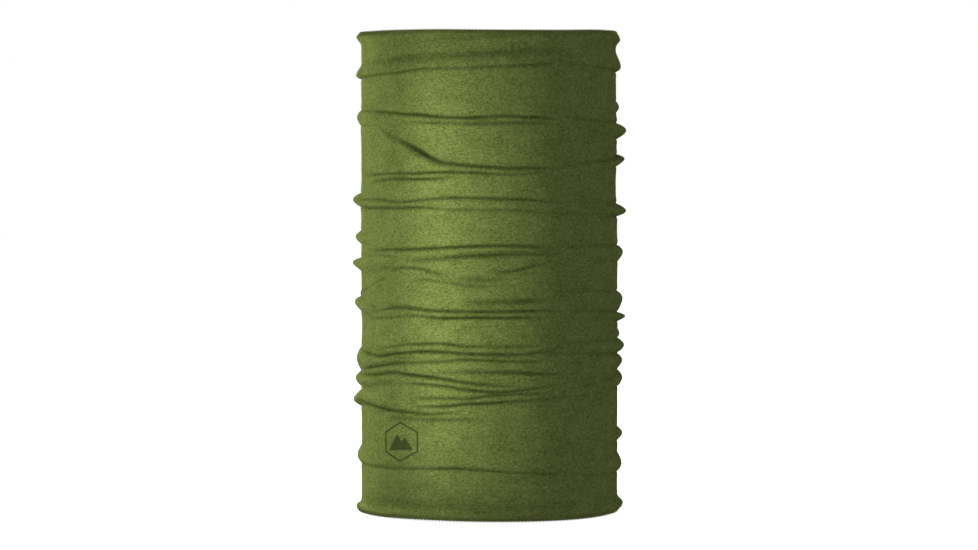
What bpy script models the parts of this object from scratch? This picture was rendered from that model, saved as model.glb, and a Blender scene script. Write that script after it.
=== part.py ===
"""Neck gaiter: a seamless knitted tube that stands as it does when worn, its spare length in soft folds.

The fabric is one circular-knit tube. Each cut edge is overlocked with three threads: an outer looper thread
that wraps the edge, an inner looper thread and a needle thread. A transfer-printed emblem lies on the outer
face, low on the front left, and a folded care label is caught in the top edge and hangs inside at the back.

Metres, +Z up. The origin is the centre of the bottom edge, and the front faces -Y.
"""

import math

import bmesh
import bpy

# Driving dimensions
TUBE_RADIUS = 0.088  # outer face of the fabric between folds, stretched over a head 0.55 m round
TUBE_HEIGHT = 0.328  # edge to edge, as it stands with its folds
FABRIC_THICKNESS = 0.0008
GAP = 0.0003  # between pieces that touch on the real object
SEGMENTS = 40  # flats round every turned piece, so that their faces run parallel

# Folds that run round the tube: (height, depth, half width)
FOLDS = (
    (0.0085, 0.0030, 0.0045),
    (0.0340, 0.0028, 0.0045),
    (0.0770, 0.0050, 0.0060),
    (0.0912, 0.0040, 0.0055),
    (0.1075, 0.0042, 0.0080),
    (0.1405, 0.0050, 0.0070),
    (0.1715, 0.0055, 0.0065),
    (0.1875, 0.0038, 0.0050),
    (0.2105, 0.0060, 0.0060),
    (0.2405, 0.0035, 0.0050),
    (0.2655, 0.0050, 0.0065),
    (0.3030, 0.0035, 0.0060),
    (0.3195, 0.0028, 0.0045),
)
CREST = 0.35  # a fold's flat crest, as a share of its half width

# Edge stitching
STITCH_BITE = 0.0028  # how far the looper threads reach in from the edge
LOOPER_THICKNESS = 0.0004
NEEDLE_THREAD_RADIUS = 0.00025
NEEDLE_THREAD_SIDES = 6

# Emblem: a hexagonal outline round twin peaks, stretched sideways with the fabric
EMBLEM_ANGLE = math.radians(-42.9)  # round the tube from the front, positive towards +X
EMBLEM_HEIGHT = 0.0526  # its centre above the bottom edge
EMBLEM_TALL = 0.0270
EMBLEM_STRETCH = 1.33  # width gained round the tube against height
EMBLEM_SLANT = 0.08  # its rise from left to right, per unit across before the stretch
EMBLEM_LINE = 0.0009
FILM_THICKNESS = 0.0004
PEAKS = (  # the twin peaks' outline, in shares of the emblem's half height
    (-0.62, -0.40),
    (-0.16, 0.38),
    (0.06, 0.02),
    (0.24, 0.24),
    (0.62, -0.40),
)

# Care label
LABEL_WIDTH = 0.024
LABEL_LENGTH = 0.034
LABEL_THICKNESS = 0.0008
LABEL_HINGE_DROP = 0.0034  # its sewn end below the top edge

FABRIC_COLOUR = (0.150, 0.210, 0.045, 1)
THREAD_COLOUR = (0.110, 0.150, 0.035, 1)
PRINT_COLOUR = (0.060, 0.085, 0.020, 1)
LABEL_COLOUR = (0.780, 0.780, 0.750, 1)

INNER_RADIUS = TUBE_RADIUS - FABRIC_THICKNESS
FABRIC_END = LOOPER_THICKNESS + GAP  # the cut edge sits this far inside the outer looper thread


def clear_scene():
    for obj in list(bpy.data.objects):
        bpy.data.objects.remove(obj, do_unlink=True)


def make_collection(name):
    collection = bpy.data.collections.new(name)
    bpy.context.scene.collection.children.link(collection)
    return collection


def make_material(name, colour, roughness):
    material = bpy.data.materials.new(name)
    material.use_nodes = True
    shader = material.node_tree.nodes["Principled BSDF"]
    shader.inputs["Base Color"].default_value = colour
    shader.inputs["Roughness"].default_value = roughness
    shader.inputs["Metallic"].default_value = 0.0
    return material


def add_object(name, data, collection, material=None):
    obj = bpy.data.objects.new(name, data)
    collection.objects.link(obj)
    if material:
        obj.data.materials.append(material)
    return obj


def adopt(name, collection, material):
    """Names the object that a primitive operator just made, and moves it into this collection."""
    obj = bpy.context.object
    obj.name = name
    obj.data.materials.append(material)
    for owner in list(obj.users_collection):
        owner.objects.unlink(obj)
    collection.objects.link(obj)
    return obj


def add_empty(name, location, collection, parent=None):
    empty = add_object(name, None, collection)
    empty.empty_display_size = 0.02
    empty.location = location
    empty.parent = parent
    return empty


def turned(name, profile, closed, collection, material):
    """A profile of (radius, height) points, running down its outer side, turned round the Z axis."""
    count = len(profile)
    edges = [(i, i + 1) for i in range(count - 1)]
    if closed:
        edges.append((count - 1, 0))
    mesh = bpy.data.meshes.new(name)
    mesh.from_pydata([(radius, 0.0, height) for radius, height in profile], edges, [])
    obj = add_object(name, mesh, collection, material)
    screw = obj.modifiers.new("Turn", "SCREW")
    screw.angle = 2 * math.pi
    screw.steps = SEGMENTS
    screw.render_steps = SEGMENTS
    screw.use_merge_vertices = True
    screw.merge_threshold = 0.00001
    screw.use_smooth_shade = False
    return obj


def band(inner, outer, low, high):
    """A rectangular ring's profile, closed."""
    return [(outer, high), (outer, low), (inner, low), (inner, high)]


def fold_bulge(height):
    """How far the fabric stands out at this height. Each fold rises in a straight slope to a flat crest."""
    bulge = 0.0
    for fold_height, depth, half_width in FOLDS:
        across = abs(height - fold_height) / half_width
        share = (1 - across) / (1 - CREST)
        bulge = max(bulge, depth * min(1.0, share))
    return bulge


def fabric_profile():
    """The fabric's outer face from the top edge down, with points only on the folds and at the edges."""
    low, high = FABRIC_END, TUBE_HEIGHT - FABRIC_END
    heights = {low, high, STITCH_BITE + 2 * GAP, TUBE_HEIGHT - STITCH_BITE - 2 * GAP}
    for fold_height, _, half_width in FOLDS:
        for step in (-1, -CREST, CREST, 1):
            heights.add(round(fold_height + step * half_width, 5))
    inside = sorted((h for h in heights if low <= h <= high), reverse=True)
    return [(TUBE_RADIUS + fold_bulge(h), h) for h in inside]


def build_tube(collection, material):
    tube = turned("knit_tube", fabric_profile(), False, collection, material)
    shell = tube.modifiers.new("Fabric thickness", "SOLIDIFY")
    shell.thickness = FABRIC_THICKNESS
    shell.offset = -1
    shell.use_even_offset = True
    return tube


def outer_looper_profile(inwards):
    """An L that lies on the outer face and wraps the edge. inwards is +1 at the bottom, -1 at the top."""
    edge = 0.0 if inwards > 0 else TUBE_HEIGHT
    face = TUBE_RADIUS + GAP
    outside = face + LOOPER_THICKNESS
    inside = INNER_RADIUS - GAP - LOOPER_THICKNESS
    reach = edge + inwards * STITCH_BITE
    under = edge + inwards * LOOPER_THICKNESS
    corners = [
        (outside, reach),
        (outside, edge),
        (inside, edge),
        (inside, under),
        (face, under),
        (face, reach),
    ]
    return corners if inwards > 0 else corners[::-1]


def build_edge(prefix, inwards, collection, material, parent=None):
    """The three threads of one overlocked edge."""
    edge = 0.0 if inwards > 0 else TUBE_HEIGHT
    outer = turned(
        f"{prefix}_outer_looper_thread", outer_looper_profile(inwards), True, collection, material
    )
    ends = sorted((edge + inwards * FABRIC_END, edge + inwards * STITCH_BITE))
    face = INNER_RADIUS - GAP
    inner = turned(
        f"{prefix}_inner_looper_thread",
        band(face - LOOPER_THICKNESS, face, *ends),
        True,
        collection,
        material,
    )
    bpy.ops.mesh.primitive_torus_add(
        major_segments=SEGMENTS,
        minor_segments=NEEDLE_THREAD_SIDES,
        major_radius=TUBE_RADIUS + GAP + NEEDLE_THREAD_RADIUS,
        minor_radius=NEEDLE_THREAD_RADIUS,
        location=(0, 0, edge + inwards * (STITCH_BITE + GAP + NEEDLE_THREAD_RADIUS)),
    )
    needle = adopt(f"{prefix}_needle_thread", collection, material)
    if parent:
        for thread in (outer, inner, needle):
            thread.parent = parent
            thread.matrix_parent_inverse = parent.matrix_basis.inverted()


def hexagon(half_height):
    """A regular hexagon, point up."""
    corners = [math.radians(90 + 60 * i) for i in range(6)]
    return [(half_height * math.cos(a), half_height * math.sin(a)) for a in corners]


def outline_cutter(name, outlines, collection):
    """Closed outlines, (across, up) from the emblem's centre, as a prism through the tube's wall."""
    curve = bpy.data.curves.new(name, "CURVE")
    curve.dimensions = "2D"
    curve.fill_mode = "BOTH"
    curve.extrude = 0.010
    for outline in outlines:
        spline = curve.splines.new("POLY")
        spline.points.add(len(outline) - 1)
        for point, (across, up) in zip(spline.points, outline):
            point.co = (across * EMBLEM_STRETCH, up + across * EMBLEM_SLANT, 0, 1)
        spline.use_cyclic_u = True
    flat = add_object(name + "_curve", curve, collection)
    centre = (
        TUBE_RADIUS * math.sin(EMBLEM_ANGLE),
        -TUBE_RADIUS * math.cos(EMBLEM_ANGLE),
        EMBLEM_HEIGHT,
    )
    flat.location = centre
    flat.rotation_euler = (math.pi / 2, 0, EMBLEM_ANGLE)
    bpy.context.view_layer.update()
    return mesh_from_curve(flat, name, collection)


def mesh_from_curve(curve_object, name, collection):
    """The curve's evaluated shape as one closed mesh in the same place. The curve is removed."""
    graph = bpy.context.evaluated_depsgraph_get()
    mesh = bpy.data.meshes.new_from_object(curve_object.evaluated_get(graph))
    weld_points(mesh)
    obj = add_object(name, mesh, collection)
    obj.matrix_world = curve_object.matrix_world.copy()
    bpy.data.objects.remove(curve_object, do_unlink=True)
    return obj


def weld_points(mesh):
    """Joins the caps to the sides, and points the faces outwards."""
    shape = bmesh.new()
    shape.from_mesh(mesh)
    bmesh.ops.remove_doubles(shape, verts=shape.verts, dist=0.00001)
    bmesh.ops.recalc_face_normals(shape, faces=shape.faces)
    shape.to_mesh(mesh)
    shape.free()


def build_print(name, outlines, collection, cutters, material):
    """A film on the fabric's outer face, cut from a thin turned shell by its outline."""
    inside = TUBE_RADIUS + GAP
    low, high = EMBLEM_HEIGHT - EMBLEM_TALL, EMBLEM_HEIGHT + EMBLEM_TALL
    film = turned(name, band(inside, inside + FILM_THICKNESS, low, high), True, collection, material)
    cutter = outline_cutter(name + "_outline", outlines, cutters)
    cutter.hide_render = True
    cutter.display_type = "WIRE"
    cut = film.modifiers.new("Outline", "BOOLEAN")
    cut.operation = "INTERSECT"
    cut.solver = "EXACT"
    cut.object = cutter
    return film


def build_emblem(collection, cutters, material):
    half = EMBLEM_TALL / 2
    border = [hexagon(half), hexagon(half - EMBLEM_LINE)]
    build_print("emblem_outline", border, collection, cutters, material)
    peaks = [(across * half, up * half) for across, up in PEAKS]
    build_print("emblem_peaks", [peaks], collection, cutters, material)


def build_label(collection, material, top_edge):
    """The folded label as it hangs, with its parent empty on the line where it is sewn."""
    hinge_y = INNER_RADIUS - 0.0024
    hinge_z = TUBE_HEIGHT - LABEL_HINGE_DROP
    hinge = add_empty("care_label_hinge", (0, hinge_y, hinge_z - TUBE_HEIGHT), collection, top_edge)
    bpy.ops.mesh.primitive_cube_add(size=1)
    label = adopt("care_label", collection, material)
    for corner in label.data.vertices:
        corner.co.x *= LABEL_WIDTH
        corner.co.y *= LABEL_THICKNESS
        corner.co.z = (corner.co.z - 0.5) * LABEL_LENGTH
    label.parent = hinge


def main():
    clear_scene()
    gaiter = make_collection("neck_gaiter")
    cutters = make_collection("cutters")
    fabric = make_material("knit_fabric", FABRIC_COLOUR, 0.9)
    thread = make_material("edge_thread", THREAD_COLOUR, 0.8)
    ink = make_material("transfer_print", PRINT_COLOUR, 0.6)
    satin = make_material("label_satin", LABEL_COLOUR, 0.5)
    build_tube(gaiter, fabric)
    build_edge("bottom_edge", 1, gaiter, thread)
    top_edge = add_empty("top_edge", (0, 0, TUBE_HEIGHT), gaiter)
    build_edge("top_edge", -1, gaiter, thread, top_edge)
    build_emblem(gaiter, cutters, ink)
    build_label(gaiter, satin, top_edge)


main()
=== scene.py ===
"""Looks for the neck gaiter: folded knit tube, overlocked edges, printed emblem and care label.

Angles go round the tube in degrees from the front (-Y), positive towards +X. Heights, depths and widths of
folds are in millimetres, and every object is in metres.
"""

import math
from collections import namedtuple

import bmesh
import bpy
import mathutils
import numpy as np
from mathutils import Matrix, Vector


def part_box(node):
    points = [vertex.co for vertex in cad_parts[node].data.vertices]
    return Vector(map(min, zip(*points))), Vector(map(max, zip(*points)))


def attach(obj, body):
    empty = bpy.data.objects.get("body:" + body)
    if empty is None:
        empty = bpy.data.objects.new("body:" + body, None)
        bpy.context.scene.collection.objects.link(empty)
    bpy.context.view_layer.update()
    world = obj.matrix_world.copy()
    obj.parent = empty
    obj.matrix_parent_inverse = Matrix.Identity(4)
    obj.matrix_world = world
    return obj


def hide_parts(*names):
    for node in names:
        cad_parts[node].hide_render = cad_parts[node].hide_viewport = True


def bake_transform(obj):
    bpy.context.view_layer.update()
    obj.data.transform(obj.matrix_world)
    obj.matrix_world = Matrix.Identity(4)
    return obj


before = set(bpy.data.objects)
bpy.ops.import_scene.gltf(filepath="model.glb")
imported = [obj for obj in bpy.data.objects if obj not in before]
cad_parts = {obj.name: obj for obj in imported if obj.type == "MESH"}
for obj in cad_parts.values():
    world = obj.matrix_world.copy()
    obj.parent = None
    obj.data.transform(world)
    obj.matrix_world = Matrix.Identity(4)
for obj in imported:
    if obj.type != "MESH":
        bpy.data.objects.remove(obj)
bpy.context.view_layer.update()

MM = 0.001

# Driving sizes, from the frame
TUBE_LOW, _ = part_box("knit_tube")
EDGE_LOW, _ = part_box("bottom_edge_outer_looper_thread")
_, EDGE_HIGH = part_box("top_edge_outer_looper_thread")
NEEDLE_LOW, NEEDLE_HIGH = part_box("bottom_edge_needle_thread")
FRAME_GAP = 0.3  # the frame leaves this between pieces that touch
HEIGHT = (EDGE_HIGH.z - EDGE_LOW.z) / MM
THREAD_RADIUS = (NEEDLE_HIGH.z - NEEDLE_LOW.z) / 2 / MM
TUBE_RADIUS = NEEDLE_HIGH.x / MM - 2 * THREAD_RADIUS - FRAME_GAP
NEEDLE_LINE = (NEEDLE_LOW.z + NEEDLE_HIGH.z) / 2 / MM
CUT_EDGE = round((TUBE_LOW.z - EDGE_LOW.z) / MM, 2)  # the fabric's cut edge sits this far inside its stitches
FABRIC_THICKNESS = 0.8

# Fabric mesh
COLUMNS = 288
ROWS = 300  # they crowd together at the creases
INNER_STEP = 3  # the inner face keeps one point in this many, each way
FINE_ROWS = 1641  # of the even table that the shape is worked out on, 0.2 mm apart
ROWS_AT_CREASE = 5  # how much closer the mesh's rows lie in a crease than on flat fabric
CREASE_FADE = 0.8  # the distance over which that extra closeness fades
ROWS_ON_SLOPE = 1.5  # how much closer they lie where the fabric slopes at 45 degrees
SLOPE_FADE = 1.5
INNER_REACH = 0.9  # the inner face stays behind the outer face's lowest point within this distance
WALES = 720  # knit columns round the tube
COURSES = 1020  # knit rows from edge to edge

# A fold stands out from the tube between a lower and an upper edge. upper and lower say how crisp each edge
# is, from 0 to 1. lean puts the crest nearer the upper edge (up to 1) or the lower (down to -1). Its points
# are (angle, height, half width, depth). A ring's last point leads back to its first, and a spiral's angles
# run on past one turn.
Fold = namedtuple("Fold", "name ring upper lower lean points")

FOLDS = (
    Fold("low_ring", True, 0.5, 0.9, -0.2, (
        (-90, 39.2, 6.5, 3.1), (-68, 38, 5, 1.6), (-40, 39, 5, 1), (-14, 40.5, 5, 0.9), (5, 39, 5, 1),
        (30, 36.5, 5, 1.2), (60, 34.5, 6, 2), (90, 33.6, 6.9, 3), (130, 36, 6, 2.2), (180, 42, 6, 1.8),
        (230, 41, 6, 2.2),
    )),
    Fold("low_right", False, 0.5, 0.7, 0, (
        (42, 51, 5, 0), (70, 52.5, 4.5, 2), (90, 53, 4.8, 3.8), (120, 52, 5, 3), (150, 50, 5, 1.5),
        (175, 49, 5, 0),
    )),
    Fold("low_left", False, 0.6, 0.8, -0.2, (
        (-185, 82, 5, 0), (-160, 80, 5, 2), (-130, 79, 6, 4), (-90, 77.4, 6.2, 5.7), (-75, 79.6, 5.5, 4.5),
        (-60, 78.5, 5, 3.2), (-45, 77, 4.5, 2.2), (-30, 76, 4, 1.6), (-15, 77, 4, 1), (0, 79, 4, 0),
    )),
    Fold("under_low_left", False, 0.5, 0.3, 0, (
        (-58, 70.5, 2.5, 0), (-40, 70.5, 2.5, 0.8), (-25, 70.3, 2.5, 0.8), (-8, 71, 2.5, 0),
    )),
    Fold("long_spiral", False, 0.8, 0.8, 0, (
        (-396, 80, 2.5, 0), (-390, 79.9, 2.8, 1.2), (-379, 80.5, 2.8, 2), (-368, 81.6, 2.4, 2.2),
        (-349, 83.7, 2.5, 2.3), (-332, 84.4, 2.6, 2.4), (-300, 88.5, 4, 3), (-270, 91, 5.5, 3.6),
        (-230, 91, 6, 4), (-180, 92.5, 6, 3.5), (-130, 91.5, 6, 3.5), (-90, 90.8, 5.7, 4.2),
        (-70, 91.5, 5.2, 3), (-50, 94.5, 4.5, 2.2), (-38, 95, 3.2, 2), (-19, 93.3, 2.5, 2),
        (-3, 90.4, 2.4, 2), (6, 89.4, 2.2, 1.8), (15, 89, 2, 0.8), (22, 89.5, 2, 0),
    )),
    Fold("soft_middle", False, 0.2, 0.2, 0, (
        (-50, 101.5, 4, 0), (-32, 102.7, 4, 0.9), (-11, 104, 4.6, 1), (14, 103.2, 4.4, 1), (40, 101, 4, 0),
    )),
    Fold("cluster_lower_ring", True, 0.8, 0.7, 0.1, (
        (-90, 104, 9, 3.4), (-71, 104.5, 5.6, 3), (-55, 106, 3.5, 2.5), (-45, 108.3, 3.3, 2.3),
        (-32, 110, 3.6, 2.2), (-11, 111.1, 2.2, 2), (2, 110.6, 2.2, 2), (14, 110.2, 2.4, 2),
        (28, 111, 3, 1.8), (60, 105.5, 4.5, 2.8), (90, 102.8, 5.2, 3.4), (130, 104, 6, 3.5),
        (180, 106, 7, 3.5), (230, 105, 8, 3.5),
    )),
    Fold("cluster_upper", False, 0.8, 0.8, 0, (
        (-60, 112.5, 2, 0), (-45, 114, 2.5, 1.2), (-32, 116.3, 2.8, 1.8), (-21, 116.8, 2.8, 2),
        (-11, 115.4, 2.4, 2), (2, 115.2, 2.6, 2), (14, 115, 2.7, 2), (25, 116, 3, 2.2),
        (60, 114.5, 4.5, 3.5), (90, 113.6, 5, 4.5), (130, 115, 6, 3.5), (170, 118, 5, 2), (200, 120, 5, 0),
    )),
    Fold("small_right", False, 0.5, 0.5, 0, (
        (60, 121.5, 3, 0), (90, 122, 3.2, 1.4), (120, 122.5, 3, 0),
    )),
    Fold("waist_ring", True, 0.9, 0.7, 0.1, (
        (-90, 142.8, 4.5, 4.8), (-75, 140.5, 4.8, 3.6), (-57, 137.4, 3.6, 2.6), (-39, 139.8, 3, 2.4),
        (-25, 139.2, 2.6, 2.2), (-11, 138.9, 2.3, 2.2), (2, 139, 2.3, 2.2), (25, 139.1, 2.5, 2.2),
        (60, 136.5, 3, 3.2), (90, 133.1, 3.3, 5.6), (120, 133, 4, 4), (180, 136, 5.5, 4),
        (230, 140, 5.5, 4.2),
    )),
    Fold("above_waist_right", False, 0.9, 0.5, 0.3, (
        (-18, 147.5, 3, 0), (0, 148.3, 3, 1), (18, 149.4, 3, 1.8), (38, 150.8, 3.6, 2.2),
        (60, 147.5, 5, 2.6), (90, 143.7, 7.6, 3.8), (120, 144.5, 6.5, 3), (150, 146, 5, 1.5),
        (170, 147, 5, 0),
    )),
    Fold("soft_centre_left", False, 0.1, 0.6, -0.3, (
        (-38, 162.5, 3, 0), (-22, 162.4, 4, 0.8), (-10, 163.5, 3.5, 0.8), (4, 164.5, 3.2, 0.7),
        (14, 164, 3, 0),
    )),
    Fold("short_right", False, 0.6, 0.9, 0, (
        (-2, 168, 2, 0), (5, 168.9, 2, 0.9), (14, 171.5, 2.5, 1.6), (26, 174.6, 2.8, 1.8),
        (40, 176.4, 3, 1.4), (55, 177, 3, 0),
    )),
    Fold("middle_spiral", False, 0.9, 0.6, 0.2, (
        (-74, 177, 3, 0), (-61, 177.4, 2.6, 0.8), (-48, 178.2, 3, 1.4), (-34, 178.6, 3.6, 1.8),
        (-23, 179.5, 3.7, 2.2), (-13, 181, 3, 2.4), (-2, 181.7, 2.9, 2.4), (9, 182, 2.6, 2.4),
        (25, 181, 2.6, 2.2), (50, 179.5, 3.8, 2.6), (75, 177.5, 5.5, 3.4), (90, 176.8, 6, 3.8),
        (130, 176, 6, 4), (180, 172, 6, 4.5), (230, 169.5, 5.5, 5), (270, 169.5, 4.6, 6.2),
        (285, 169.5, 5.4, 4.2), (300, 170.8, 5.6, 2.6), (312, 171.9, 4.4, 1.8), (323, 173, 3.8, 1.5),
        (333, 171.8, 4.4, 1.1), (350, 173, 4.5, 0),
    )),
    Fold("waist_diagonal", False, 0.9, 0.2, 0.4, (
        (-95, 148, 4, 0), (-80, 149.2, 4, 1.2), (-68, 151.8, 4, 1.6), (-58, 156, 4, 1.4),
        (-48, 159.5, 4, 0.9), (-36, 162, 4, 0),
    )),
    Fold("short_left", False, 0.7, 0.7, 0, (
        (-165, 186, 5, 0), (-140, 187, 5, 2.4), (-110, 188, 5, 3.6), (-90, 187.8, 4.8, 4.1),
        (-78, 187, 4, 2.2), (-64, 186, 3, 0),
    )),
    Fold("upper_middle_ring", True, 0.8, 0.9, -0.15, (
        (-90, 213.9, 4.3, 5.8), (-75, 211.8, 4, 4.4), (-55, 211.6, 3.2, 3), (-43, 211.2, 2.6, 2.6),
        (-32, 212.4, 2.9, 2.4), (-16, 212.7, 4.2, 2.6), (5, 212, 4, 2.6), (25, 210.6, 3.8, 2.8),
        (60, 208.4, 4.6, 4.8), (90, 206.6, 4.7, 6.8), (130, 207, 6, 5), (180, 210, 6, 4.5),
        (230, 213, 5.5, 5),
    )),
    Fold("narrow_left", False, 0.9, 0.8, 0, (
        (-84, 227, 3, 0), (-61, 228.3, 2.8, 1.2), (-48, 230.2, 2.2, 1.8), (-32, 230.7, 2.3, 1.8),
        (-20, 231.6, 2, 1.3), (-8, 232.6, 1.6, 0),
    )),
    Fold("diagonal", False, 0.95, 0.5, 0.3, (
        (-66, 264.5, 2.5, 0), (-58, 261.8, 2.8, 1.3), (-51, 256, 3, 2.1), (-43, 250.8, 3.2, 2.3),
        (-34, 244.3, 3.4, 2.4), (-29, 240.4, 3.2, 2.4), (-23, 236.8, 2.8, 2.4), (-15, 235.5, 2.6, 2.2),
        (-6, 235.2, 2.3, 2.2), (9, 234.5, 2.2, 2.2), (25, 234.4, 2.3, 2.2), (60, 237.5, 3, 3.4),
        (90, 240.4, 4, 6), (120, 243, 4.5, 3.5), (150, 246, 5, 2), (175, 248, 5, 0),
    )),
    Fold("upper_ring", True, 0.9, 0.7, 0.1, (
        (-90, 269.6, 5.6, 2.8), (-75, 269.5, 5.5, 2.2), (-55, 269, 4.8, 1.6), (-33, 268.8, 2.8, 1.6),
        (-18, 268, 2.2, 1.8), (-8, 267.3, 2.2, 1.8), (14, 268, 1.9, 1.8), (25, 267.6, 2, 1.8),
        (45, 265.8, 3, 2.6), (70, 262, 4.8, 5.4), (90, 260.6, 5.7, 6.8), (130, 264, 6, 4.5),
        (180, 268, 6, 3.5), (230, 270, 6, 3),
    )),
    Fold("upper_right", False, 0.5, 0.5, 0, (
        (58, 276.5, 3.5, 0), (75, 277, 4, 1.2), (90, 277.2, 4.2, 2.1), (120, 278, 5, 2.2),
        (150, 280, 5, 1.2), (172, 281, 5, 0),
    )),
    Fold("top_ring", True, 0.2, 0.95, -0.5, (
        (-90, 301.2, 5.2, 3.8), (-68, 302.6, 5, 2.4), (-40, 305, 5, 1.4), (-14, 306.9, 4.5, 1.3),
        (9, 308.2, 4.8, 1.3), (23, 309.8, 4.8, 1.3), (60, 309.5, 6, 2.2), (90, 308.2, 7.4, 3.6),
        (130, 307, 6.5, 3), (180, 304, 6, 2.6), (230, 302, 6, 3.2),
    )),
    # Folds that only show at the back
    Fold("back_diagonal_high", False, 0.9, 0.4, 0.3, (
        (118, 262, 3, 0), (135, 257, 3.5, 2.2), (155, 249, 4, 3.2), (175, 241, 4, 3), (195, 236, 3.6, 2.2),
        (222, 233, 3, 1), (240, 232, 3, 0),
    )),
    Fold("back_narrow", False, 0.8, 0.8, 0, (
        (125, 192, 3, 0), (150, 193.5, 3.4, 2), (185, 196, 3.6, 2.4), (215, 199, 3.4, 1.6), (240, 201, 3, 0),
    )),
    Fold("back_diagonal_low", False, 0.4, 0.9, -0.3, (
        (140, 124, 3, 0), (160, 128, 3.6, 1.8), (185, 124, 4, 2.6), (210, 121, 4, 2.2), (240, 119, 3.5, 1.2),
        (262, 118, 3, 0),
    )),
    Fold("back_waist", False, 0.7, 0.7, 0, (
        (160, 155, 4, 0), (190, 153, 4.4, 2.4), (220, 155, 4.6, 2.8), (250, 154, 4.2, 1.4), (266, 152, 4, 0),
    )),
    Fold("back_low", False, 0.6, 0.9, -0.2, (
        (185, 64, 4, 0), (210, 61, 4.4, 1.8), (240, 58, 4.6, 2.4), (262, 57, 4, 1), (276, 57, 4, 0),
    )),
    Fold("back_top", False, 0.3, 0.8, -0.3, (
        (150, 287, 4, 0), (180, 286, 4.4, 1.6), (215, 288, 4.6, 2), (245, 291, 4.2, 1), (262, 292, 4, 0),
    )),
)

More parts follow.
